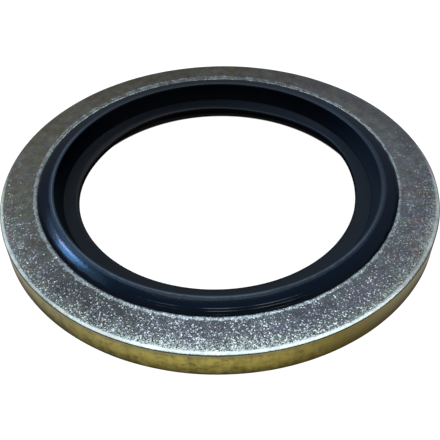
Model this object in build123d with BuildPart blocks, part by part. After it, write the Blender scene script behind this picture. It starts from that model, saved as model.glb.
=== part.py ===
from build123d import *
import math
import os

# Self-centring bonded sealing washer for a half-inch pipe thread, in millimetres.
# A flat metal ring carries a rubber seal moulded into its bore. The seal has one sealing lip
# standing out of each face of the ring, and a thin web at mid height that centres the washer
# on the thread. Both faces are alike. The origin is the centre of the bore, half way through
# the ring, and +Z is the washer's axis.

# Widths across the section, from the bore outward
web_bore_diameter = 18.3
web_width = 1.7  # from the bore out to the crest of the lips
flank_width = 1.0  # from the crest out to the hole of the metal ring
ring_width = 2.45  # from that hole out to the rim

# Metal ring
ring_thickness = 2.0
outer_edge_break = 0.25  # tumbled outer corners
inner_edge_break = 0.15  # corners of the hole, filled by the rubber

# Sealing lips
crest_stand = 0.4  # height of a crest above the ring's face
crest_nose_radius = 0.15
crest_shoulder_angle = 7.5  # slope in degrees where the nose runs into the outer flank
inner_flank_draft = 12.0  # lean of the inner flank from the axis, in degrees
flank_sink = 0.08  # how far under the ring's face the outer flank runs out

# Centring web
web_edge_thickness = 0.45
web_root_thickness = 0.67  # where the web grows out of the lips
web_edge_radius = 0.175  # rounding of the web's free edge

# Places that follow from those sizes. A section is drawn with the radius along X and the
# height along Y, and is turned about the washer's axis.
web_bore_radius = web_bore_diameter / 2
crest_radius = web_bore_radius + web_width
ring_bore_radius = crest_radius + flank_width
face_height = ring_thickness / 2
web_edge_height = web_edge_thickness / 2
web_root_height = web_root_thickness / 2
nose_height = face_height + crest_stand - crest_nose_radius
draft = math.radians(inner_flank_draft)
nose_start = (
    crest_radius - crest_nose_radius * math.cos(draft),
    nose_height + crest_nose_radius * math.sin(draft),
)
web_root = (
    nose_start[0] - (nose_start[1] - web_root_height) * math.tan(draft),
    web_root_height,
)
flank_end = (ring_bore_radius + inner_edge_break, face_height - flank_sink)

# The metal ring: a flat section with broken corners.
with BuildPart() as metal_ring:
    with BuildSketch(Plane.XZ) as ring_section:
        with Locations((ring_bore_radius + ring_width / 2, 0)):
            Rectangle(ring_width, ring_thickness)
        rim_corners = ring_section.vertices().group_by(Axis.X)[-1]
        hole_corners = ring_section.vertices().group_by(Axis.X)[0]
        chamfer(rim_corners, outer_edge_break)
        chamfer(hole_corners, inner_edge_break)
    revolve(axis=Axis.Z)

# The rubber seal: web, inner flank, blunt crest and bulging outer flank, drawn for the upper
# half and mirrored. The ring's own section is cut away, so the rubber fills the broken
# corners of the hole and meets the metal all the way round.
with BuildPart() as rubber_seal:
    with BuildSketch(Plane.XZ) as seal_section:
        with BuildLine():
            inner_run = FilletPolyline(
                (web_bore_radius, 0),
                (web_bore_radius, web_edge_height),
                web_root,
                nose_start,
                radius=[web_edge_radius, 0],
            )
            nose = JernArc(
                start=inner_run @ 1,
                tangent=inner_run % 1,
                radius=crest_nose_radius,
                arc_size=inner_flank_draft - 90 - crest_shoulder_angle,
            )
            outer_flank = TangentArc(nose @ 1, flank_end, tangent=nose % 1)
            Line(outer_flank @ 1, (flank_end[0], 0))
            mirror(about=Plane.XZ)
        make_face()
        add(ring_section.sketch_local, mode=Mode.SUBTRACT)
    revolve(axis=Axis.Z)

metal_ring.part.label = "metal_ring"
rubber_seal.part.label = "rubber_seal"

os.makedirs("parts", exist_ok=True)
export_step(metal_ring.part, "parts/metal_ring.step")
export_step(rubber_seal.part, "parts/rubber_seal.step")
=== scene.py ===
"""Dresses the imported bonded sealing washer: its plated ring, its moulded seal, a table and light.

Sizes in this file are millimetres and degrees. They become metres only where a mesh, a light
or the camera is made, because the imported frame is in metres.
"""

import logging
import math
from collections.abc import Callable
from dataclasses import dataclass, field
from enum import Enum

import bpy
import numpy as np
from mathutils import Matrix, Vector, noise


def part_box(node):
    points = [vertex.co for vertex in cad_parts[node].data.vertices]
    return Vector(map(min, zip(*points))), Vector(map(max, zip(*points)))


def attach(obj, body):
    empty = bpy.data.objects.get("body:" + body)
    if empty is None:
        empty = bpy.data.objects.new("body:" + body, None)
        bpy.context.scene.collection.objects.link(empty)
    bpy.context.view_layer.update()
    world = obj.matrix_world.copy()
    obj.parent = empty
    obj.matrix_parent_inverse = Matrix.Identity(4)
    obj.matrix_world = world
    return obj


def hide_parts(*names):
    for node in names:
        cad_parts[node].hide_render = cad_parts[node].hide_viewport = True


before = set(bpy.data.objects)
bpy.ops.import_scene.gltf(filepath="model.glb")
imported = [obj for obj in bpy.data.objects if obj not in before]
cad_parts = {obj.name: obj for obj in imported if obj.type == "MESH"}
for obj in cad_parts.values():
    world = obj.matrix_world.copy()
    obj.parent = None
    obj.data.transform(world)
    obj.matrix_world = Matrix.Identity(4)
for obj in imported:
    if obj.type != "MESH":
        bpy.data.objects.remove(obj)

LOG = logging.getLogger("washer")

MILLIMETRE = 0.001
BODY = "root"
SHADING_SCALE = 1 / MILLIMETRE  # turns object coordinates into millimetres for the patterns
HOLE_RADIUS = 11.85  # of the metal ring
SEAL_OFFSET = 0.10  # how far the seal lies behind the centre of the rim
HOLE_OFFSET = 0.177  # the same for the metal hole
HOLE_STRETCH = 0.047  # how much farther the hole reaches at its front and back than at its sides
HOLE_LOBES = 0.027  # how far it swells out three times a turn
INWARD, UPWARD = 180, 90  # directions in a section, in degrees from straight outward
SAME_POINT = 1e-6  # points that are nearer than this are one
SEED_SPREAD = (1.0, 0.37, 0.71)  # turns a seed into a place in the noise
MIDDLE_OF_RANGE = (0.5, 0.5, 0.5)

Colour = tuple[float, float, float]
Place = tuple[float, float, float]
Zone = tuple[float, float]  # where a step is 0 and where it is 1, or what a signal lies between
Setting = object
Relief = Callable[[float, float, float], float]


class Blend(Enum):
    """How two colours are laid over each other."""

    MIX = "MIX"
    MULTIPLY = "MULTIPLY"


class Piece(Enum):
    """The pieces of the scene, by their names."""

    RING = "plated_ring"
    SEAL = "moulded_seal"
    TABLE = "table_top"


class MixSocket(Enum):
    """Places of the colour sockets on a Mix node."""

    FACTOR = 0
    FIRST = 6
    SECOND = 7
    RESULT = 2


@dataclass(frozen=True)
class Pattern:
    """A soft random pattern, about 0.5 on average."""

    scale: float  # features to the millimetre
    detail: float = 2.0  # how many finer layers it has
    roughness: float = 0.5  # how strong the finer layers are
    threshold: Zone | None = None  # levels that it steps from 0 to 1 between, if it does
    offset: Place = (0.0, 0.0, 0.0)  # what is added to the place it is read at


# --------------------------------------------------------------------------------------
# Shader graphs
# --------------------------------------------------------------------------------------


class Signal:
    """A number on its way between shader nodes, which plain arithmetic can be done on."""

    def __init__(self, board: "NodeBoard", socket: bpy.types.NodeSocket) -> None:
        """Keeps the board that adds nodes and the socket that the number comes from."""
        self.board = board
        self.socket = socket

    def __add__(self, other: "Signal | float") -> "Signal":
        """Signal plus other."""
        return self.board.math("ADD", self, other)

    def __radd__(self, other: float) -> "Signal":
        """Other plus signal."""
        return self.board.math("ADD", other, self)

    def __sub__(self, other: "Signal | float") -> "Signal":
        """Signal minus other."""
        return self.board.math("SUBTRACT", self, other)

    def __rsub__(self, other: float) -> "Signal":
        """Other minus signal."""
        return self.board.math("SUBTRACT", other, self)

    def __mul__(self, other: "Signal | float") -> "Signal":
        """Signal times other."""
        return self.board.math("MULTIPLY", self, other)

    def __rmul__(self, other: float) -> "Signal":
        """Other times signal."""
        return self.board.math("MULTIPLY", other, self)

    def __truediv__(self, other: "Signal | float") -> "Signal":
        """Signal over other."""
        return self.board.math("DIVIDE", self, other)

    def __rtruediv__(self, other: float) -> "Signal":
        """Other over signal."""
        return self.board.math("DIVIDE", other, self)

    def __pow__(self, other: float) -> "Signal":
        """Signal raised to a power."""
        return self.board.math("POWER", self, other)

    def clamped(self) -> "Signal":
        """Signal held between 0 and 1."""
        return self.board.node("ShaderNodeClamp", {}, {"Value": self})

    def step(self, low: float, high: float) -> "Signal":
        """Smooth step of the signal.

        Args:
            low: value where the step is 0.
            high: value where the step is 1; under low, the step falls.

        Returns:
            The step as a new signal.
        """
        return self.board.node(
            "ShaderNodeMapRange",
            {"interpolation_type": "SMOOTHSTEP"},
            {"Value": self, "From Min": low, "From Max": high},
        )

    def between(self, start: float, end: float) -> "Signal":
        """Signal that runs from start, where this one is 0, to end, where it is 1."""
        return self * (end - start) + start


class NodeBoard:
    """One shader graph, to which every node is added in the same way."""

    def __init__(self, tree: bpy.types.NodeTree) -> None:
        """Empties the graph."""
        self.tree = tree
        tree.nodes.clear()

    def node(
        self,
        kind: str,
        settings: dict[str, Setting],
        sockets: dict[str | int, object],
        output: str | int = 0,
    ) -> Signal:
        """Adds a node, with its settings first and then its sockets.

        Args:
            kind: the node's type.
            settings: its properties, such as a Math node's operation.
            sockets: a value or a signal for each input socket, by name or place.
            output: the output socket that is wanted.

        Returns:
            That output as a signal.
        """
        made = self.tree.nodes.new(kind)
        for name, value in settings.items():
            setattr(made, name, value)
        for name, value in sockets.items():
            if isinstance(value, Signal):
                self.tree.links.new(value.socket, made.inputs[name])
            else:
                made.inputs[name].default_value = value
        return Signal(self, made.outputs[output] if len(made.outputs) else None)

    def math(self, operation: str, *values: "Signal | float") -> Signal:
        """Adds a Math node on two numbers."""
        return self.node("ShaderNodeMath", {"operation": operation}, dict(enumerate(values)))

    def place(self) -> Signal:
        """Where a surface point is, in millimetres from the middle of the washer."""
        spot = self.node("ShaderNodeTexCoord", {}, {}, "Object")
        return self.stretched(spot, (SHADING_SCALE,) * 3)

    def vector(self, operation: str, first: Signal, second: "Signal | Place") -> Signal:
        """Adds a Vector Math node on two vectors."""
        return self.node("ShaderNodeVectorMath", {"operation": operation}, {0: first, 1: second})

    def stretched(self, spot: Signal, factors: Place) -> Signal:
        """A place with each axis multiplied by its factor."""
        return self.vector("MULTIPLY", spot, factors)

    def moved(self, spot: Signal, offset: Place) -> Signal:
        """A place shifted by an offset."""
        return self.vector("ADD", spot, offset)

    def axes(self, spot: Signal) -> tuple[Signal, Signal, Signal]:
        """The x, y and z of a place."""
        split = self.node("ShaderNodeSeparateXYZ", {}, {"Vector": spot})
        return tuple(Signal(self, output) for output in split.socket.node.outputs)

    def radius(self, spot: Signal) -> Signal:
        """Distance of a place from the z axis."""
        across, along, _ = self.axes(spot)
        return (across * across + along * along) ** 0.5

    def cells(self, spot: Signal, scale: float) -> Signal:
        """A random colour for each small facet, with so many facets to the millimetre."""
        return self.node("ShaderNodeTexVoronoi", {}, {"Vector": spot, "Scale": scale}, "Color")

    def cloud(self, spot: Signal, pattern: Pattern) -> Signal:
        """Reads a soft random pattern.

        Args:
            spot: the place it is read at, in millimetres.
            pattern: which pattern.

        Returns:
            The pattern, stepped where it has a threshold.
        """
        if any(pattern.offset):
            spot = self.moved(spot, pattern.offset)
        sockets = {
            "Vector": spot,
            "Scale": pattern.scale,
            "Detail": pattern.detail,
            "Roughness": pattern.roughness,
        }
        level = self.node("ShaderNodeTexNoise", {"noise_dimensions": "3D"}, sockets, "Fac")
        return level.step(*pattern.threshold) if pattern.threshold else level

    def mix(
        self,
        factor: "Signal | float",
        first: "Signal | Colour",
        second: "Signal | Colour",
        blend: Blend = Blend.MIX,
    ) -> Signal:
        """Lays one colour over another.

        Args:
            factor: 0 gives the first colour and 1 the full blend.
            first: the colour beneath.
            second: the colour on top.
            blend: how they combine.

        Returns:
            The colour that comes out.
        """
        sockets = {
            MixSocket.FACTOR.value: factor,
            MixSocket.FIRST.value: self._four(first),
            MixSocket.SECOND.value: self._four(second),
        }
        settings = {"data_type": "RGBA", "blend_type": blend.value}
        return self.node("ShaderNodeMix", settings, sockets, MixSocket.RESULT.value)

    @staticmethod
    def _four(colour: "Signal | Colour") -> "Signal | tuple[float, ...]":
        """A colour with the alpha that a colour socket wants, or the signal as it is."""
        return colour if isinstance(colour, Signal) else (*colour, 1.0)

    def bump(self, height: Signal, depth: float) -> Signal:
        """Fine relief in the shading.

        Args:
            height: the pattern, from 0 to 1.
            depth: what a rise from 0 to 1 stands for, in millimetres.

        Returns:
            The bent normal.
        """
        sockets = {"Height": height, "Strength": 1.0, "Distance": depth * MILLIMETRE}
        return self.node("ShaderNodeBump", {}, sockets, "Normal")

    def surface(self, sockets: dict[str | int, object]) -> None:
        """Ends the graph in one Principled shader with these sockets."""
        shader = self.node("ShaderNodeBsdfPrincipled", {}, sockets, "BSDF")
        self.node("ShaderNodeOutputMaterial", {}, {"Surface": shader})


def new_material(name: str) -> tuple[bpy.types.Material, NodeBoard]:
    """Makes an empty material.

    Args:
        name: what it is called.

    Returns:
        The material and the board that its nodes are added to.
    """
    material = bpy.data.materials.new(name)
    material.use_nodes = True
    return material, NodeBoard(material.node_tree)


# --------------------------------------------------------------------------------------
# Finishes
# --------------------------------------------------------------------------------------


@dataclass(frozen=True)
class Nick:
    """A small pale mark on the upper face, in the shape of an ellipse."""

    across: float
    along: float
    half_length: float
    half_width: float
    heading: float = 0.0  # which way it runs, in degrees from the x axis


@dataclass(frozen=True)
class PlatedSteel:
    """Zinc plating with a thin yellow passivate: rubbed pale on the faces, olive gold on the rim.

    The front of the washer is toward -Y and its right side toward +X.
    """

    face_colour: Colour = (0.68, 0.67, 0.64)
    face_olive: Colour = (0.62, 0.60, 0.46)
    face_violet: Colour = (0.62, 0.55, 0.61)
    face_brown: Colour = (0.60, 0.49, 0.44)
    face_painted_shade: Colour = (0.10, 0.11, 0.12)  # what full painted shade would leave of the colour
    rim_gold: Colour = (0.385, 0.315, 0.070)
    # the two darker rim colours below serve the blotches and spots, and the painted shade along the
    # rim's top and foot
    rim_olive: Colour = (0.17, 0.135, 0.030)
    rim_brown: Colour = (0.075, 0.055, 0.018)
    rim_umber: Colour = (0.128, 0.089, 0.001)
    rim_grey: Colour = (0.20, 0.185, 0.105)
    scuff_colour: Colour = (0.82, 0.87, 0.87)
    face_roughness: float = 0.15
    rim_roughness: float = 0.36
    scuff_roughness: float = 0.32
    rim_band: Zone = (-0.07, -0.02)  # radii, from the rim
    # the faces
    haze: Pattern = Pattern(1.3, 6.0, 0.72, None, (0.0, 0.0, 40.0))
    haze_range: Zone = (0.27, 1.77)
    olive_patches: Pattern = Pattern(0.7, 5.0, 0.65, (0.44, 0.62))
    violet_patches: Pattern = Pattern(0.6, 5.0, 0.65, (0.44, 0.62), (31.0, 7.0, 0.0))
    brown_patches: Pattern = Pattern(1.1, 5.0, 0.7, (0.50, 0.64), (5.0, 50.0, 0.0))
    olive_side: Zone = (-4.0, 12.0)  # toward the back and a little to the left
    violet_side: Zone = (-6.0, 10.0)  # toward the right
    violet_front: Zone = (-2.0, -9.0)
    brown_back: Zone = (-12.5, -7.0)
    border_radii: Zone = (13.1, 13.7)  # a greener band beside the rim
    border_front: Zone = (-1.0, -9.0)
    painted_shade_centre: Place = (-8.2, -10.0, 0.0)  # of a patch of painted shade at the front left
    painted_shade_reach: Zone = (5.3, 1.5)
    painted_shade_share: float = 0.28
    edge_painted_shade_radii: Zone = (12.9, 13.6)  # a band of painted shade beside the rim, at the right
    edge_painted_shade_side: Zone = (5.0, 10.0)
    edge_painted_shade_share: float = 0.18
    # the blasted grain
    grain_cells: float = 15.0  # blasted facets to the millimetre
    grain_tilt: float = 0.31  # how far the most upset facet may lean, as a slope
    tint_cells: float = 9.0  # colour specks to the millimetre
    tint_offset: Place = (0.0, 0.0, 9.0)
    tint_lift: Colour = (1.07, 1.08, 1.07)
    tint_share: float = 0.12
    gloss_wander: Pattern = Pattern(0.8)
    gloss_range: Zone = (-0.04, 0.04)
    pits: Pattern = Pattern(14.0, 2.0, 0.6)
    pit_depth: float = 0.004
    burnished_band: Zone = (-0.34, -0.22)  # radii, from the rim, where tumbling smoothed the grain
    burnished_share: float = 0.75
    # the rim, by height as a share of half the thickness: a painted highlight above the middle,
    # painted shade along its top and foot
    rim_painted_highlight: Zone = (-0.75, 0.15)
    rim_top_painted_shade: Zone = (0.50, 0.85)
    rim_foot_painted_shade: Zone = (-0.70, -0.95)
    rim_grey_zone: Zone = (0.62, 0.86)
    rim_blotches: Pattern = Pattern(1.6, 5.0, 0.7)
    rim_upright: Pattern = Pattern(4.0)
    rim_level: Pattern = Pattern(5.0)
    upright_stretch: Place = (1.0, 1.0, 0.10)
    level_stretch: Place = (0.25, 0.25, 1.0)
    rim_spots: Pattern = Pattern(2.2, 3.0, 0.6, (0.57, 0.68), (0.0, 17.0, 0.0))
    rim_brown_side: Zone = (-4.0, -12.0)
    rim_umber_side: Zone = (-1.0, 7.0)
    rim_grey_side: Zone = (-1.0, 6.0)
    # the mould's mark round the hole
    scuff_tilt: float = 0.38  # how much more a facet may lean where the face is scuffed
    scuff_raggedness: Pattern = Pattern(3.0, 4.0, 0.75)
    scuff_specks: Pattern = Pattern(3.5, 4.0, 0.75, (0.44, 0.54))
    scuff_patches: Pattern = Pattern(1.8, 4.0, 0.7, (0.40, 0.60), (0.0, 23.0, 0.0))
    scuff_behind: Zone = (-10.0, 6.0)
    scuff_ahead: Zone = (-11.2, -11.9)
    scuff_far: Zone = (2.0, 10.0)
    scuff_dulled: Zone = (-12.0, -6.0)
    dulled_share: float = 1.35
    ridge_outside: Zone = (-0.02, 0.04)  # depths inside the mark's edge
    ridge_inside: Zone = (0.24, 0.10)
    # the marks of handling
    nick_specks: Pattern = Pattern(7.0, 2.0, 0.6, (0.42, 0.58))
    nick_edge: Zone = (1.6, 0.1)
    nick_heights: Zone = (0.8, 0.9)
    nicks: tuple[Nick, ...] = (
        Nick(-12.52, -3.31, 0.52, 0.07, 5.0),
        Nick(-12.02, -3.26, 0.12, 0.10),
        Nick(-12.45, -5.15, 0.30, 0.38),
        Nick(11.28, -6.55, 0.20, 0.09, -25.0),
        Nick(11.85, -6.15, 0.09, 0.09),
        Nick(12.67, 0.75, 0.13, 0.13),
    )

    def material(self, ring: "MetalRing") -> bpy.types.Material:
        """Makes the finish.

        Args:
            ring: the ring that it covers, for the radii where the finish changes.

        Returns:
            The material.
        """
        material, board = new_material("zinc_plate_passivated")
        spot = board.place()
        _, along, _ = board.axes(spot)
        beyond = board.radius(spot) - ring.outer_radius
        on_rim = beyond.step(*self.rim_band)
        burnished = beyond.step(*self.burnished_band)
        scuffed = (self._scuffed(board, spot, ring) + self._nicked(board, spot)).clamped()
        dulled = along.step(*self.scuff_dulled) * self.dulled_share
        face = self._face_colour(board, spot)
        rim = self._rim_colour(board, spot, ring)
        colour = board.mix(on_rim, face, rim)
        rough = on_rim.between(self.face_roughness, self.rim_roughness)
        rough = rough + scuffed * (self.scuff_roughness - self.face_roughness)
        rough = rough + board.cloud(spot, self.gloss_wander).between(*self.gloss_range)
        board.surface(
            {
                "Base Color": board.mix(scuffed, colour, self.scuff_colour),
                "Metallic": (1.0 - scuffed * scuffed * dulled).clamped(),
                "Roughness": rough,
                "Normal": self._grain(board, spot, scuffed, burnished),
            }
        )
        return material

    def _grain(
        self, board: NodeBoard, spot: Signal, scuffed: Signal, burnished: Signal
    ) -> Signal:
        """Normal of a blasted skin, made of small facets that each lean their own way.

        Args:
            board: the graph it belongs to.
            spot: where the surface point is.
            scuffed: 1 where the mould rubbed the face, and the facets lean more.
            burnished: 1 where tumbling has smoothed the corner.

        Returns:
            The bent normal, with pits.
        """
        cells = board.cells(spot, self.grain_cells)
        lean = board.vector("SUBTRACT", cells, MIDDLE_OF_RANGE)
        _, _, upset = board.axes(cells)
        tilt = scuffed * self.scuff_tilt + self.grain_tilt
        tilt = tilt * (1.0 - burnished * self.burnished_share)
        sockets = {0: lean, "Scale": upset * upset * tilt}
        lean = board.node("ShaderNodeVectorMath", {"operation": "SCALE"}, sockets)
        pitted = board.bump(board.cloud(spot, self.pits), self.pit_depth)
        bent = board.vector("ADD", pitted, lean)
        return board.node("ShaderNodeVectorMath", {"operation": "NORMALIZE"}, {0: bent})

    def _nicked(self, board: NodeBoard, spot: Signal) -> Signal:
        """The small pale marks of handling on the upper face.

        Args:
            board: the graph it belongs to.
            spot: where the surface point is.

        Returns:
            1 in a mark and 0 outside.
        """
        across, along, height = board.axes(spot)
        marks = 0.0
        for nick in self.nicks:
            turned = math.radians(nick.heading)
            aside, ahead = across - nick.across, along - nick.along
            down = (aside * math.cos(turned) + ahead * math.sin(turned)) / nick.half_length
            over = (ahead * math.cos(turned) - aside * math.sin(turned)) / nick.half_width
            marks = (down * down + over * over).step(*self.nick_edge) + marks
        patchy = board.cloud(spot, self.nick_specks).between(0.1, 1.0)
        return marks * height.step(*self.nick_heights) * patchy

    def _face_colour(self, board: NodeBoard, spot: Signal) -> Signal:
        """Silver faces with patches of passivate, olive on one side and violet on the other.

        They carry painted shade in a patch at the front left and in a band along the right edge.

        Args:
            board: the graph it belongs to.
            spot: where the surface point is.

        Returns:
            The colour.
        """
        across, along, _ = board.axes(spot)
        radius = board.radius(spot)
        border = radius.step(*self.border_radii) * along.step(*self.border_front)
        olive = board.cloud(spot, self.olive_patches)
        olive = olive * (along - across * 0.5).step(*self.olive_side).between(0.2, 1.0)
        violet = board.cloud(spot, self.violet_patches)
        violet = violet * across.step(*self.violet_side).between(0.4, 1.0)
        violet = violet + along.step(*self.violet_front) * 0.40
        violet = violet * border.between(1.0, 0.2)
        brown = board.cloud(spot, self.brown_patches)
        brown = brown * along.step(*self.brown_back).between(0.25, 1.0)
        colour = board.mix((olive + border * 0.2).clamped(), self.face_colour, self.face_olive)
        colour = board.mix(violet.clamped(), colour, self.face_violet)
        colour = board.mix(brown, colour, self.face_brown)
        haze = board.cloud(spot, self.haze).between(*self.haze_range)
        tone = board.node("ShaderNodeCombineColor", {}, {0: haze, 1: haze, 2: haze})
        colour = board.mix(1.0, colour, tone, Blend.MULTIPLY)
        specks = board.cells(board.moved(spot, self.tint_offset), self.tint_cells)
        tint = board.mix(self.tint_share, self.tint_lift, specks)
        colour = board.mix(1.0, colour, tint, Blend.MULTIPLY)
        # painted shade: a patch at the front left darkens the colour
        centred = board.moved(spot, tuple(-part for part in self.painted_shade_centre))
        dim = board.radius(centred).step(*self.painted_shade_reach) * self.painted_shade_share
        # painted shade along the right edge, beside the rim
        edge = radius.step(*self.edge_painted_shade_radii) * across.step(*self.edge_painted_shade_side)
        dim = dim + edge * self.edge_painted_shade_share
        return board.mix(dim.clamped(), colour, self.face_painted_shade, Blend.MULTIPLY)

    def _rim_colour(self, board: NodeBoard, spot: Signal, ring: "MetalRing") -> Signal:
        """Olive gold with a painted highlight above the middle and painted shade along its top and
        foot, streaked and spotted, and umber at the right.

        Args:
            board: the graph it belongs to.
            spot: where the surface point is.
            ring: the ring that the finish covers.

        Returns:
            The colour.
        """
        across, _, height = board.axes(spot)
        rise = height * (1 / ring.half_thickness)
        # painted highlight above the middle and painted shade along the top of the rim
        band = rise.step(*self.rim_painted_highlight) * rise.step(*self.rim_top_painted_shade).between(1.0, 0.25)
        blotches = board.cloud(spot, self.rim_blotches).between(-1.6, 1.6)
        upright = board.cloud(board.stretched(spot, self.upright_stretch), self.rim_upright)
        level = board.cloud(board.stretched(spot, self.level_stretch), self.rim_level)
        streaks = (upright - 0.5) + (level - 0.5)
        painted_light_and_blotches = (band.between(0.20, 0.75) + blotches + streaks).clamped()
        gold = board.mix(painted_light_and_blotches, self.rim_olive, self.rim_gold)
        # painted shade at the rim's foot, with spots and a darker left side
        spots_and_painted_shade = board.cloud(spot, self.rim_spots) * 0.6 + rise.step(*self.rim_foot_painted_shade) * 0.6
        spots_and_painted_shade = spots_and_painted_shade + across.step(*self.rim_brown_side) * 0.36
        gold = board.mix(spots_and_painted_shade.clamped(), gold, self.rim_brown)
        gold = board.mix(across.step(*self.rim_umber_side) * 0.90, gold, self.rim_umber)
        grey = rise.step(*self.rim_grey_zone) * across.step(*self.rim_grey_side).between(0.65, 0.05)
        return board.mix(grey, gold, self.rim_grey)

    def _scuffed(self, board: NodeBoard, spot: Signal, ring: "MetalRing") -> Signal:
        """Ragged pale mark that the mould left round the hole, brightest along its own edge.

        Args:
            board: the graph it belongs to.
            spot: where the surface point is.
            ring: the ring that the finish covers.

        Returns:
            1 where the face is fully scuffed.
        """
        _, along, _ = board.axes(spot)
        behind, ahead = along.step(*self.scuff_behind), along.step(*self.scuff_ahead)
        ragged = (board.cloud(spot, self.scuff_raggedness) - 0.5) * behind.between(0.75, 0.40)
        left, back = ring.mark_centre
        squeeze = ring.mark_radius / (ring.mark_radius + ring.mark_stretch)
        centred = board.moved(spot, (-left, -back, 0.0))
        reach = board.radius(board.stretched(centred, (1.0, squeeze, 1.0)))
        depth = ragged + ring.mark_radius - reach  # how far inside the mark's edge
        specks = board.cloud(spot, self.scuff_specks)
        patchy = board.cloud(spot, self.scuff_patches)
        inside = (depth / behind.between(0.06, 0.28)).clamped() * patchy.between(0.4, 1.0)
        inside = inside * (0.34 + behind * 0.29 + ahead * 0.25)
        ridge = depth.step(*self.ridge_outside) * depth.step(*self.ridge_inside)
        broken = specks * 0.5 + patchy * 0.5 + 0.15
        broken = broken + ahead * 0.20 - along.step(*self.scuff_far) * 0.40
        return (inside + ridge * broken.clamped()).clamped()


@dataclass(frozen=True)
class MouldedRubber:
    """Black nitrile rubber straight from the mould, with a low satin gloss."""

    deep: Colour = (0.0006, 0.0035, 0.009)
    bloom: Colour = (0.0015, 0.006, 0.015)
    # painted light: a lighter, bluer colour on the outer flank toward the crest
    lip_painted_light: Colour = (0.005, 0.017, 0.038)
    # painted light: a lighter, bluer colour for the web and the inner wall at the right
    right_painted_light: Colour = (0.018, 0.027, 0.037)
    # painted light for the web's free edge at the left
    edge_painted_light: Colour = (0.052, 0.038, 0.030)
    # painted light for the inner wall at the right
    wall_painted_light: Colour = (0.040, 0.056, 0.071)
    worn: Colour = (0.066, 0.083, 0.100)
    # a pale rubbed line on the crest's top, which also paints the crest's highlight
    rubbed: Colour = (0.23, 0.28, 0.32)
    lip_roughness: float = 0.14
    web_roughness: float = 0.38
    worn_roughness: float = 0.45
    refraction: float = 1.46
    bloom_patches: Pattern = Pattern(0.9, 4.0, 0.6, (0.35, 0.75))
    gloss_wander: Pattern = Pattern(1.7, 3.0)
    gloss_range: Zone = (-0.03, 0.03)
    grain: Pattern = Pattern(6.0, 3.0, 0.6)
    grain_depth: float = 0.005
    wear_raggedness: Pattern = Pattern(3.0, 3.0, 0.7)
    wear_range: Zone = (-0.015, 0.015)
    # radii, from the crest
    inner_band: Zone = (-0.02, -0.15)
    rubbed_band: Zone = (-0.01, 0.05)
    # painted shade toward the lip's root, at the back
    root_band: Zone = (-0.92, -0.40)
    edge_band: Zone = (0.40, 0.20)  # from the web's free edge, where painted light lies at the left
    # heights, from the crest down or from the web's root up
    lip_foot: float = 0.05
    lip_top: float = -0.1
    high_top: float = -0.05
    worn_top: Zone = (-0.06, -0.02)
    rubbed_top: Zone = (-0.016, -0.006)
    wall_foot: Zone = (0.02, 0.20)
    # places across and along the washer, for the wear and the painted light and shade
    worn_back: Zone = (4.0, 11.0)
    rubbed_front: Zone = (6.0, -5.0)  # toward the front and a little to the left, where the rubbed line also paints the crest's highlight
    right_painted_light_side: Zone = (-2.0, 9.0)
    root_back: Zone = (0.0, 6.0)
    wall_front: Zone = (8.0, -2.0)
    edge_side: Zone = (3.0, -6.0)

    def material(self, seal: "RubberSeal") -> bpy.types.Material:
        """Makes the finish.

        Args:
            seal: the seal that it covers, for the place of its crests.

        Returns:
            The material.
        """
        material, board = new_material("moulded_black_rubber")
        spot = board.place()
        across, along, height = board.axes(spot)
        rise = (height * height) ** 0.5
        radius = board.radius(board.moved(spot, (0.0, -SEAL_OFFSET, 0.0)))
        beyond = radius - seal.crest_radius
        inner = beyond.step(*self.inner_band)
        lip = rise.step(seal.web_root_half + self.lip_foot, seal.crest_height + self.lip_top)
        high = rise.step(seal.face_height, seal.crest_height + self.high_top)
        ragged = board.cloud(spot, self.wear_raggedness).between(*self.wear_range)
        top = rise + ragged - seal.crest_height
        worn = top.step(*self.worn_top) * inner.between(1.0, 0.5)
        worn = worn * along.step(*self.worn_back).between(1.0, 0.7)
        # a pale rubbed line on the crest's top that also paints the crest's highlight, toward the
        # front left
        rubbed = (across * 0.6 + along).step(*self.rubbed_front).between(0.1, 1.0)
        rubbed = rubbed * top.step(*self.rubbed_top) * beyond.step(*self.rubbed_band)
        colour = board.mix(board.cloud(spot, self.bloom_patches), self.deep, self.bloom)
        # painted light: the outer flank grows lighter and bluer toward the crest
        colour = board.mix(high.between(0.4, 1.0) * (1.0 - inner), colour, self.lip_painted_light)
        # painted light: the web and the inner wall are lighter and bluer at the right
        right_painted_light_mask = across.step(*self.right_painted_light_side) * inner
        # painted shade: toward the lip's root at the back the painted light is taken away, leaving
        # the web darker
        root = beyond.step(*self.root_band) * along.step(*self.root_back)
        colour = board.mix(right_painted_light_mask * (1.0 - root), colour, self.right_painted_light)
        # painted light on the inner wall at the right
        wall = (rise - seal.web_root_half).step(*self.wall_foot) * along.step(*self.wall_front)
        colour = board.mix(right_painted_light_mask * wall, colour, self.wall_painted_light)
        # painted light on the web's free edge at the left
        edge = (radius - seal.web_bore).step(*self.edge_band) * across.step(*self.edge_side)
        colour = board.mix(edge * 0.8, colour, self.edge_painted_light)
        rough = lip.between(self.web_roughness, self.lip_roughness)
        rough = rough + board.cloud(spot, self.gloss_wander).between(*self.gloss_range)
        board.surface(
            {
                "Base Color": board.mix(rubbed, board.mix(worn, colour, self.worn), self.rubbed),
                "Roughness": rough + worn * (self.worn_roughness - self.lip_roughness),
                "IOR": self.refraction,
                "Normal": board.bump(board.cloud(spot, self.grain), self.grain_depth),
            }
        )
        return material


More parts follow.
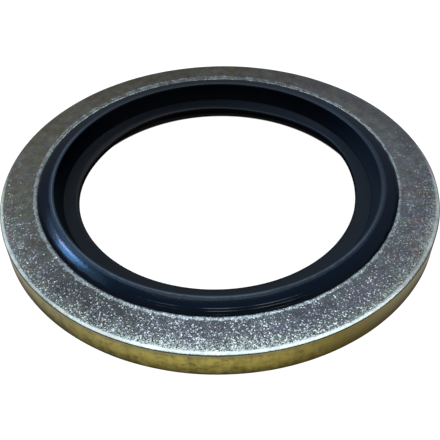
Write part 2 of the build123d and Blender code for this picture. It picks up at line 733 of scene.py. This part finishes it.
@dataclass(frozen=True)
class PaleTable:
    """White board that the washer lies on, shaded where the washer stands over it.

    The board is white to the eye. The washer sees a board that is lit near its rim only: dark
    in its own hole and under it, and dim further off.
    """

    colour: Colour = (0.90, 0.90, 0.895)
    dark: Colour = (0.004, 0.004, 0.004)
    roughness: float = 0.8
    shade: Zone = (10.42, 13.5)  # radii that the washer's own shade lies between
    shade_blur: float = 0.06
    shade_aside: float = 0.13  # how far the shade lies toward +X
    lit: Zone = (14.3, 15.9)  # radii where the board's glow starts, and is full
    dim: Zone = (19.0, 32.0)  # radii where it fades, and is gone
    far: Zone = (10.0, 40.0)  # where it comes back behind the washer
    far_glow: float = 0.12

    def material(self) -> bpy.types.Material:
        """Makes the finish.

        Returns:
            The material.
        """
        material, board = new_material("white_table")
        spot = board.place()
        _, along, _ = board.axes(spot)
        radius = board.radius(spot)
        inner, outer = self.shade
        aside = board.radius(board.moved(spot, (-self.shade_aside, 0.0, 0.0)))
        under = aside.step(inner - self.shade_blur, inner + self.shade_blur)
        under = under * aside.step(outer + self.shade_blur, outer - self.shade_blur)
        glow = radius.step(*self.lit) * radius.step(*reversed(self.dim))
        glow = glow + along.step(*self.far) * radius.step(*self.dim) * self.far_glow
        seen = board.node("ShaderNodeLightPath", {}, {}, "Is Camera Ray")
        shown = seen * (1.0 - under) + (1.0 - seen) * glow
        board.surface(
            {
                "Base Color": board.mix(shown, self.dark, self.colour),
                "Roughness": self.roughness,
                "Specular IOR Level": 0.0,
            }
        )
        return material


# --------------------------------------------------------------------------------------
# Turned meshes
# --------------------------------------------------------------------------------------


@dataclass
class Section:
    """A closed outline in the plane of radius and height, drawn point by point."""

    points: list[tuple[float, float]] = field(default_factory=list)

    def line(self, radius: float, height: float, spacing: float) -> "Section":
        """Draws a straight run to a point.

        Args:
            radius: where the run ends, from the axis.
            height: where it ends, above the middle.
            spacing: the longest step along it.

        Returns:
            The section itself, to draw on.
        """
        if not self.points:
            self.points.append((radius, height))
            return self
        start = self.points[-1]
        length = math.hypot(radius - start[0], height - start[1])
        steps = max(1, math.ceil(length / spacing))
        for step in range(1, steps + 1):
            part = step / steps
            self.points.append(
                (start[0] + (radius - start[0]) * part, start[1] + (height - start[1]) * part)
            )
        return self

    def arc(
        self,
        centre: tuple[float, float],
        size: tuple[float, float],
        start: float,
        end: float,
        steps: int,
    ) -> "Section":
        """Draws an arc of a circle or an ellipse.

        Args:
            centre: its centre, as (radius, height).
            size: its half width and half height.
            start: the angle it starts at, from straight outward, in degrees.
            end: the angle it ends at.
            steps: how many pieces it is drawn in.

        Returns:
            The section itself, to draw on.
        """
        for step in range(steps + 1):
            angle = math.radians(start + (end - start) * step / steps)
            spot = (
                centre[0] + size[0] * math.cos(angle),
                centre[1] + size[1] * math.sin(angle),
            )
            if not self.points or math.dist(self.points[-1], spot) > SAME_POINT:
                self.points.append(spot)
        return self

    def bend(self, size: float, first: float, last: float, steps: int) -> "Section":
        """Draws an arc that runs on from the last point.

        Args:
            size: its radius.
            first: how far the surface leans outward at its start, in degrees from level.
            last: how far it leans at its end.
            steps: how many pieces it is drawn in.

        Returns:
            The section itself, to draw on.
        """
        lean = math.radians(first)
        radius, height = self.points[-1]
        centre = (radius - size * math.sin(lean), height - size * math.cos(lean))
        return self.arc(centre, (size, size), UPWARD - first, UPWARD - last, steps)

    def mirrored(self) -> "Section":
        """The outline of the upper half, closed by its own mirror image below."""
        lower = [(radius, -height) for radius, height in reversed(self.points)]
        return Section(self.points + [spot for spot in lower if abs(spot[1]) > SAME_POINT])


def turn(
    piece_name: Piece, section: Section, segments: int, relief: Relief, sway: Relief
) -> bpy.types.Object:
    """Turns a closed section about the z axis into a smooth mesh.

    Args:
        piece_name: the piece's name.
        section: its outline, in millimetres.
        segments: how many pieces the turn has.
        relief: gives how far a point stands out along its normal, from its angle, radius
            and height.
        sway: gives how far a point lies outside its true circle, from the same three.

    Returns:
        The new object.
    """
    outline = np.array(section.points)
    if _signed_area(outline) < 0:
        outline = outline[::-1]
    ahead, behind = np.roll(outline, -1, axis=0), np.roll(outline, 1, axis=0)
    along = ahead - behind
    along /= np.linalg.norm(along, axis=1)[:, None]
    outward = np.stack([along[:, 1], -along[:, 0]], axis=1)
    angles = np.linspace(0.0, 2 * math.pi, segments, endpoint=False)
    count = len(outline)
    vertices = np.empty((segments, count, 3))
    for row, angle in enumerate(angles):
        lift = np.array([relief(angle, radius, height) for radius, height in outline])
        spots = outline + outward * lift[:, None]
        spots[:, 0] += [sway(angle, radius, height) for radius, height in outline]
        vertices[row, :, 0] = spots[:, 0] * math.cos(angle)
        vertices[row, :, 1] = spots[:, 0] * math.sin(angle)
        vertices[row, :, 2] = spots[:, 1]
    here = np.arange(segments)[:, None] * count + np.arange(count)[None, :]
    beside = np.roll(here, -1, axis=0)
    faces = np.stack(
        [here, beside, np.roll(beside, -1, axis=1), np.roll(here, -1, axis=1)], axis=2
    )
    mesh = bpy.data.meshes.new(piece_name.value)
    mesh.from_pydata(
        (vertices.reshape(-1, 3) * MILLIMETRE).tolist(), [], faces.reshape(-1, 4).tolist()
    )
    mesh.polygons.foreach_set("use_smooth", np.ones(len(mesh.polygons), dtype=bool))
    mesh.update()
    piece = bpy.data.objects.new(piece_name.value, mesh)
    bpy.context.scene.collection.objects.link(piece)
    return piece


def _signed_area(outline: np.ndarray) -> float:
    """Area inside an outline, positive when it runs anticlockwise."""
    across, up = outline[:, 0], outline[:, 1]
    return 0.5 * float(np.sum(across * np.roll(up, -1) - np.roll(across, -1) * up))


@dataclass(frozen=True)
class Ripples:
    """Smooth random ripples on a turned surface."""

    rise: float  # how far they stand out at most, about
    width: float
    seed: float

    def at(self, angle: float, radius: float, height: float, side: float = 0.0) -> float:
        """How far the ripples stand out at a point.

        Args:
            angle: angle round the axis, in radians.
            radius: distance from the axis.
            height: height above the middle.
            side: what is added to the seed, so that each face has its own ripples.

        Returns:
            The distance, which is negative in a hollow.
        """
        shift = [(self.seed + side) * part for part in SEED_SPREAD]
        spot = Vector((radius * math.cos(angle), radius * math.sin(angle), height))
        return self.rise * noise.noise(spot / self.width + Vector(shift))


def soft_step(value: float, low: float, high: float) -> float:
    """Smooth step from 0 at low to 1 at high."""
    part = min(1.0, max(0.0, (value - low) / (high - low)))
    return part * part * (3 - 2 * part)


# --------------------------------------------------------------------------------------
# The washer
# --------------------------------------------------------------------------------------


def hole_shift(angle: float) -> float:
    """How far the punched hole lies outside a circle about the rim's centre."""
    stretch = HOLE_STRETCH * math.sin(angle) ** 2
    return HOLE_OFFSET * math.sin(angle) + stretch + HOLE_LOBES * math.sin(3 * angle)


def swell(angle: float, middle: float, sharpness: float) -> float:
    """A soft swelling round the turn, 1 at its middle, which is in degrees."""
    return max(0.0, math.cos(angle - math.radians(middle))) ** sharpness


@dataclass(frozen=True)
class Bend:
    """One arc of a corner, from the lean that the arc before it ends at."""

    radius: float
    lean: float  # of the surface where the arc ends, outward from level, in degrees
    steps: int


@dataclass
class MetalRing:
    """The stamped steel ring, tumbled round at its corners and blasted on its faces."""

    finish: PlatedSteel
    outer_radius: float
    half_thickness: float
    hole_radius: float = HOLE_RADIUS
    upper_bends: tuple[Bend, ...] = (Bend(36.0, 1.9, 5), Bend(1.2, 14.0, 8), Bend(0.045, 90.0, 6))
    lower_bends: tuple[Bend, ...] = (Bend(12.0, 3.5, 4), Bend(1.2, 18.0, 5), Bend(0.26, 90.0, 7))
    hole_corner_radius: float = 0.12
    hole_corner_steps: int = 4
    mark_radius: float = 12.12  # of the mould's mark round the hole
    mark_centre: tuple[float, float] = (-0.05, 0.305)
    mark_stretch: float = 0.255  # how much farther the mark reaches at its front and back
    mark_height: float = 0.012
    mark_slope: float = 0.10  # how far in from its edge the mark has its full height
    mark_limit: float = 1.2  # the mark is looked for this far out from the hole
    mark_ripples: Ripples = Ripples(0.12, 0.9, 21.0)  # of its ragged edge
    face_margin: float = 0.01
    ripples: Ripples = Ripples(0.010, 2.6, 3.0)
    fine_ripples: Ripples = Ripples(0.0015, 0.45, 9.0)
    other_side: float = 3.0  # added to a seed above the middle, and taken off below it
    highest_lift: float = 0.02
    sway_radii: Zone = (14.0, 12.0)  # true outside the first, and off centre inside the second
    segments: int = 720
    spacing: float = 0.1
    bore_spacing: float = 0.4

    @classmethod
    def from_frame(cls, finish: PlatedSteel) -> "MetalRing":
        """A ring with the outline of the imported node."""
        _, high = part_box("metal_ring")
        return cls(finish, high.x / MILLIMETRE, high.z / MILLIMETRE)

    def section(self) -> Section:
        """Draws the ring's outline, from the middle of its hole up, out and down the rim.

        Returns:
            The closed outline.
        """
        upper = self._half(self.upper_bends).points
        lower = self._half(self.lower_bends).points[1:-1]
        return Section(upper + [(radius, -height) for radius, height in reversed(lower)])

    def _half(self, bends: tuple[Bend, ...]) -> Section:
        """Draws the outline above the middle.

        Args:
            bends: the arcs that lead from the face to the rim.

        Returns:
            The open outline, from the hole to the rim.
        """
        corner = self.hole_corner_radius
        top = self.half_thickness
        leans = [0.0] + [math.radians(bend.lean) for bend in bends]
        width = sum(
            bend.radius * (math.sin(last) - math.sin(first))
            for bend, first, last in zip(bends, leans, leans[1:])
        )
        half = Section()
        half.line(self.hole_radius, 0.0, self.spacing)
        half.line(self.hole_radius, top - corner, self.bore_spacing)
        centre, steps = (self.hole_radius + corner, top - corner), self.hole_corner_steps
        half.arc(centre, (corner, corner), INWARD, UPWARD, steps)
        half.line(self.outer_radius - width, top, self.spacing)
        for bend, first in zip(bends, leans):
            half.bend(bend.radius, math.degrees(first), bend.lean, bend.steps)
        half.line(self.outer_radius, 0.0, self.spacing)
        return half

    def relief(self, angle: float, radius: float, height: float) -> float:
        """How far the worn surface stands from the plain outline.

        Args:
            angle: angle round the axis, in radians.
            radius: distance from the axis.
            height: height above the middle.

        Returns:
            The distance along the surface's normal.
        """
        side = math.copysign(self.other_side, height)
        lift = self.ripples.at(angle, radius, height, side)
        lift += self.fine_ripples.at(angle, radius, height)
        on_face = abs(height) > self.half_thickness - self.face_margin
        if on_face and radius < self.hole_radius + self.mark_limit:
            left, back = self.mark_centre
            edge = self.mark_radius + left * math.cos(angle) + back * math.sin(angle)
            edge += self.mark_stretch * math.sin(angle) ** 2
            edge += self.mark_ripples.at(angle, radius, height, side)
            lift += self.mark_height * soft_step(edge - radius, 0.0, self.mark_slope)
        return min(lift, self.highest_lift)

    def sway(self, angle: float, radius: float, height: float) -> float:
        """How far the hole's side lies off the rim's centre."""
        return hole_shift(angle) * soft_step(radius, *self.sway_radii)

    def build(self) -> bpy.types.Object:
        """Makes the ring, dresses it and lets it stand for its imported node.

        Returns:
            The ring's mesh object.
        """
        piece = turn(Piece.RING, self.section(), self.segments, self.relief, self.sway)
        piece.data.materials.append(self.finish.material(self))
        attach(piece, BODY)
        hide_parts("metal_ring")
        return piece


@dataclass
class RubberSeal:
    """The moulded seal: two blunt lips, their bulging flanks and a thin centring web."""

    finish: MouldedRubber
    crest_height: float
    face_height: float
    hole_radius: float = HOLE_RADIUS
    web_bore: float = 9.15
    web_half_thickness: float = 0.225
    web_root_half: float = 0.24
    web_edge_radius: float = 0.13
    web_edge_end: float = 91.0  # direction in which the rounding of the web's edge ends
    web_edge_steps: int = 5
    crease: float = 0.012  # keeps the shading sharp where the web meets the lip
    crest_radius: float = 10.82
    nose_radius: float = 0.13
    nose_steps: int = 8
    draft: float = 22.0
    shoulder: float = 5.0
    flank_bends: tuple[Bend, ...] = (Bend(0.9, 12.0, 4), Bend(5.05, 20.0, 22), Bend(0.75, 48.0, 10))
    tuck: tuple[float, float] = (0.05, 0.25)  # of the flank's end, behind the metal and down
    mould_ring_pitch: float = 0.15
    mould_ring_height: float = 0.024
    mould_ring_zone: Zone = (0.45, 1.1)  # radii, from the crest, where the rings begin and are full
    mould_ring_front: Zone = (0.72, 0.96)  # the same, as the sine of the angle toward the front
    mould_ring_share: float = 0.7  # of their height that they have on average
    mould_ring_ripples: Ripples = Ripples(0.9, 1.8, 17.0)  # what that share varies by
    seam_zone: Zone = (0.8, 1.1)  # radii, from the crest
    seam_ripples: Ripples = Ripples(0.03, 0.7, 13.0)
    seam_radius: float = 12.0  # where the ripples of the seam and of the rings are read
    ripples: Ripples = Ripples(0.008, 2.2, 5.0)
    calm_share: float = 0.5  # of those ripples that the web and the inner walls have
    flank_margin: float = 0.1
    bore_sway: tuple[float, float, float] = (0.078, 0.012, 0.028)  # mean, once and twice a turn
    # angle in degrees and size of each soft swelling of the web's bore
    bore_swells: tuple[tuple[float, float], ...] = ((24.0, 0.29), (67.0, -0.10), (146.0, -0.18))
    swell_sharpness: int = 12
    sway_reach: float = 0.5  # how far inside the crest the web begins to sway
    web_freedom: float = 0.7  # share of the seal's offset that the web's edge doesn't follow
    metal_zone: Zone = (11.2, 11.7)  # radii where the seal begins to follow the metal's hole
    segments: int = 640
    spacing: float = 0.15
    buried_spacings: tuple[float, float] = (0.2, 0.5)

    @classmethod
    def from_frame(cls, finish: MouldedRubber) -> "RubberSeal":
        """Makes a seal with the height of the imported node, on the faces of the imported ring.

        Args:
            finish: what it is dressed in.

        Returns:
            The seal.
        """
        _, seal_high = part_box("rubber_seal")
        _, ring_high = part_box("metal_ring")
        return cls(finish, seal_high.z / MILLIMETRE, ring_high.z / MILLIMETRE)

    def section(self) -> Section:
        """Draws the seal's outline, from the web's free edge up over a lip to the metal.

        Returns:
            The closed outline.
        """
        edge = self.web_edge_radius
        nose = self.nose_radius
        nose_centre = (self.crest_radius, self.crest_height - nose)
        draft = math.radians(self.draft)
        half = Section()
        half.line(self.web_bore, 0.0, self.spacing)
        centre, steps = (self.web_bore + edge, self.web_half_thickness - edge), self.web_edge_steps
        half.arc(centre, (edge, edge), INWARD, self.web_edge_end, steps)
        nose_foot = (
            nose_centre[0] - nose * math.cos(draft),
            nose_centre[1] + nose * math.sin(draft),
        )
        root = (
            nose_foot[0] - (nose_foot[1] - self.web_root_half) * math.tan(draft),
            self.web_root_half,
        )
        crease = self.crease
        half.line(root[0] - crease, root[1], self.spacing)
        half.line(*root, crease)
        half.line(root[0] + crease * math.sin(draft), root[1] + crease * math.cos(draft), crease)
        half.line(*nose_foot, self.spacing)
        ends = INWARD - self.draft, UPWARD - self.shoulder
        half.arc(nose_centre, (nose, nose), *ends, self.nose_steps)
        lean = self.shoulder
        for bend in self.flank_bends:
            half.bend(bend.radius, lean, bend.lean, bend.steps)
            lean = bend.lean
        behind, under = self.tuck
        half.line(self.hole_radius + behind, self.face_height - under, self.buried_spacings[0])
        half.line(self.hole_radius, 0.0, self.buried_spacings[1])
        return half.mirrored()

    def relief(self, angle: float, radius: float, height: float) -> float:
        """How far the moulded surface stands from the plain outline.

        Args:
            angle: angle round the axis, in radians.
            radius: distance from the axis.
            height: height above the middle.

        Returns:
            The distance along the surface's normal.
        """
        lift = self.ripples.at(angle, radius, height)
        if abs(height) < self.face_height - self.flank_margin or radius < self.crest_radius:
            return lift * self.calm_share
        out = radius - self.crest_radius
        front = soft_step(-math.sin(angle), *self.mould_ring_front)
        patchy = self.mould_ring_share + self.mould_ring_ripples.at(angle, self.seam_radius, 0.0)
        rings = math.cos(2 * math.pi * out / self.mould_ring_pitch)
        rings = rings * patchy * front * soft_step(out, *self.mould_ring_zone)
        seam = self.seam_ripples.at(angle, self.seam_radius, 0.0, math.copysign(1, height))
        return lift + self.mould_ring_height * rings + seam * soft_step(out, *self.seam_zone)

    def sway(self, angle: float, radius: float, height: float) -> float:
        """How far the soft web lies outside its true circle, most at its free edge.

        Args:
            angle: angle round the axis, in radians.
            radius: distance from the axis.
            height: height above the middle.

        Returns:
            The distance, outward from the axis.
        """
        mean, once, twice = self.bore_sway
        free = soft_step(radius, self.crest_radius - self.sway_reach, self.web_bore)
        pull = mean + once * math.cos(angle) + twice * math.cos(2 * angle)
        for middle, size in self.bore_swells:
            pull += size * swell(angle, middle, self.swell_sharpness)
        pull = pull * free + SEAL_OFFSET * math.sin(angle) * (1.0 - self.web_freedom * free)
        at_metal = soft_step(radius, *self.metal_zone)
        return pull * (1.0 - at_metal) + hole_shift(angle) * at_metal

    def build(self) -> bpy.types.Object:
        """Makes the seal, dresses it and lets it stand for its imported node.

        Returns:
            The seal's mesh object.
        """
        piece = turn(Piece.SEAL, self.section(), self.segments, self.relief, self.sway)
        piece.data.materials.append(self.finish.material(self))
        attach(piece, BODY)
        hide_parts("rubber_seal")
        return piece


# --------------------------------------------------------------------------------------
# Table, light and camera
# --------------------------------------------------------------------------------------


@dataclass(frozen=True)
class SoftLight:
    """A soft panel that faces the washer from a direction."""

    name: str
    azimuth: float  # clockwise from +Y, seen from above
    elevation: float
    width: float  # how wide and how high it looks from the washer, in degrees
    height: float
    brightness: float
    colour: Colour = (1.0, 1.0, 1.0)
    falls_on: tuple[Piece, ...] = (Piece.RING, Piece.SEAL)
    shadowless: bool = False
    distance: float = 400.0

    def build(self) -> bpy.types.Object:
        """Hangs the panel, turns it to the washer and picks what it falls on.

        Returns:
            The lamp.
        """
        turned, raised = math.radians(self.azimuth), math.radians(self.elevation)
        toward = Vector(
            (
                math.sin(turned) * math.cos(raised),
                math.cos(turned) * math.cos(raised),
                math.sin(raised),
            )
        )
        light = bpy.data.lights.new(self.name, "AREA")
        light.shape = "RECTANGLE"
        light.size = 2 * self.distance * math.tan(math.radians(self.width / 2)) * MILLIMETRE
        light.size_y = 2 * self.distance * math.tan(math.radians(self.height / 2)) * MILLIMETRE
        light.energy = self.brightness * math.pi * light.size * light.size_y
        light.color = self.colour
        lamp = bpy.data.objects.new(self.name, light)
        lamp.location = toward * self.distance * MILLIMETRE
        lamp.rotation_euler = toward.to_track_quat("Z", "Y").to_euler()
        bpy.context.scene.collection.objects.link(lamp)
        lit = bpy.data.collections.new(self.name + "_falls_on")
        for piece in self.falls_on:
            lit.objects.link(bpy.data.objects[piece.value])
        lamp.light_linking.receiver_collection = lit
        if self.shadowless:
            lamp.light_linking.blocker_collection = lit
        return lamp


@dataclass
class Studio:
    """A white table in a dim room with a bright window on one side."""

    table: PaleTable
    table_height: float
    lights: tuple[SoftLight, ...] = (
        SoftLight("window", -57.0, 45.5, 9, 11, 14.5, (0.16, 0.45, 1.0), (Piece.SEAL,)),
        SoftLight("window_pane", -53, 43, 3, 3, 28.0, (0.75, 0.72, 1.0), (Piece.SEAL,)),
        SoftLight("window_glow", -57, 46, 27, 24, 1.1, (0.30, 0.58, 1.0), (Piece.SEAL,)),
        SoftLight("window_frame", -41, 37, 16, 26, 0.95, (0.64, 0.85, 1.0), (Piece.RING,)),
        SoftLight("doorway", 46, 42, 14, 34, 0.60, (0.80, 0.95, 1.0), (Piece.RING,)),
        SoftLight("skylight", 10, 72, 60, 21, 1.75, (0.75, 0.91, 1.0), (Piece.RING,)),
        SoftLight("roof_light", 2, 68, 26, 16, 2.8, (0.88, 0.97, 1.0), (Piece.SEAL,)),
        SoftLight(
            "table_lamp", 184, 60, 24, 24, 25.0, (1.0, 1.0, 1.0), (Piece.TABLE,), True, 20000.0
        ),
    )
    table_size: float = 3000.0
    low_sky: float = 0.092
    high_sky: float = 0.155
    floor_sky: float = 0.15  # of the low glow, left near the floor
    back_floor_sky: float = 1.0  # the same, behind the washer
    low_colour: Colour = (0.99, 1.02, 0.96)
    left_colour: Colour = (1.50, 1.53, 1.42)
    right_colour: Colour = (1.54, 1.77, 2.06)
    high_colour: Colour = (0.60, 0.86, 1.10)
    backdrop_colour: Colour = (1.0, 1.0, 1.0)
    # zones of the room, as parts of a direction of length 1
    left_side: Zone = (0.0, -0.25)
    right_side: Zone = (0.05, 0.45)
    back_side: Zone = (0.30, 0.85)
    above_floor: Zone = (0.28, 0.48)
    high_up: Zone = (0.45, 0.90)

    def build(self) -> None:
        """Sets the table, the room's glow and the lights."""
        self._lay_table()
        self._fill_room()
        for light in self.lights:
            light.build()
        bpy.context.scene.view_settings.view_transform = "Standard"

    def _lay_table(self) -> None:
        """Lays the table just under the lower lip."""
        half = self.table_size / 2 * MILLIMETRE
        level = self.table_height * MILLIMETRE
        mesh = bpy.data.meshes.new(Piece.TABLE.value)
        corners = [(-half, -half, level), (half, -half, level)]
        corners += [(half, half, level), (-half, half, level)]
        mesh.from_pydata(corners, [], [(0, 1, 2, 3)])
        mesh.materials.append(self.table.material())
        table = bpy.data.objects.new(Piece.TABLE.value, mesh)
        bpy.context.scene.collection.objects.link(table)

    def _fill_room(self) -> None:
        """Gives the room a glow that grows with height, and a pale look where it shows."""
        world = bpy.data.worlds.new("room")
        bpy.context.scene.world = world
        world.use_nodes = True
        board = NodeBoard(world.node_tree)
        direction = board.node("ShaderNodeTexCoord", {}, {}, "Generated")
        across, along, upward = board.axes(direction)
        raised = upward.step(*self.high_up)
        colour = board.mix(across.step(*self.left_side), self.low_colour, self.left_colour)
        colour = board.mix(across.step(*self.right_side), colour, self.right_colour)
        colour = board.mix(raised, colour, self.high_colour)
        glow = raised.between(self.low_sky, self.high_sky)
        floor = along.step(*self.back_side).between(self.floor_sky, self.back_floor_sky)
        glow = glow * (upward.step(*self.above_floor) * (1.0 - floor) + floor)
        room = board.node("ShaderNodeBackground", {}, {"Color": colour, "Strength": glow})
        backdrop = board.node("ShaderNodeBackground", {}, {"Color": (*self.backdrop_colour, 1.0)})
        seen = board.node("ShaderNodeLightPath", {}, {}, "Is Camera Ray")
        both = board.node("ShaderNodeMixShader", {}, {0: seen, 1: room, 2: backdrop})
        board.node("ShaderNodeOutputWorld", {}, {"Surface": both})


@dataclass(frozen=True)
class Viewpoint:
    """Where the camera stands, what it aims at and how it leans."""

    stands_at: Place = (-2.754, -33.233, 28.716)
    aims_at: Place = (-2.808, -1.936, -0.955)
    lean: float = -4.4
    lens: float = 52.75
    sensor: float = 36.0
    sideways_shift: float = 0.1
    nearest: float = 1.0
    farthest: float = 10000.0

    def build(self) -> bpy.types.Object:
        """Sets the camera up and makes it the scene's.

        Returns:
            The camera.
        """
        stand, aim = Vector(self.stands_at), Vector(self.aims_at)
        back = (stand - aim).normalized()
        level_right = Vector((0.0, 0.0, 1.0)).cross(back).normalized()
        level_up = back.cross(level_right)
        lean = math.radians(self.lean)
        right = level_right * math.cos(lean) + level_up * math.sin(lean)
        up = back.cross(right)
        data = bpy.data.cameras.new("camera")
        data.lens, data.sensor_width = self.lens, self.sensor
        data.shift_x = self.sideways_shift
        data.clip_start, data.clip_end = self.nearest * MILLIMETRE, self.farthest * MILLIMETRE
        camera = bpy.data.objects.new("camera", data)
        turned = Matrix((right, up, back)).transposed().to_4x4()
        camera.matrix_world = Matrix.Translation(stand * MILLIMETRE) @ turned
        bpy.context.scene.collection.objects.link(camera)
        bpy.context.scene.camera = camera
        return camera


def main() -> None:
    """Builds the washer, the table, the light and the camera, and logs how many faces each piece
    has.
    """
    logging.basicConfig(level=logging.INFO, format="%(message)s")
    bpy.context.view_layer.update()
    ring = MetalRing.from_frame(PlatedSteel())
    seal = RubberSeal.from_frame(MouldedRubber())
    pieces = [assembly.build() for assembly in (ring, seal)]
    for piece in pieces:
        LOG.info("%s: %d faces", piece.name, len(piece.data.polygons))
    Studio(PaleTable(), table_height=-seal.crest_height).build()
    Viewpoint().build()


if __name__ == "__main__":
    main()
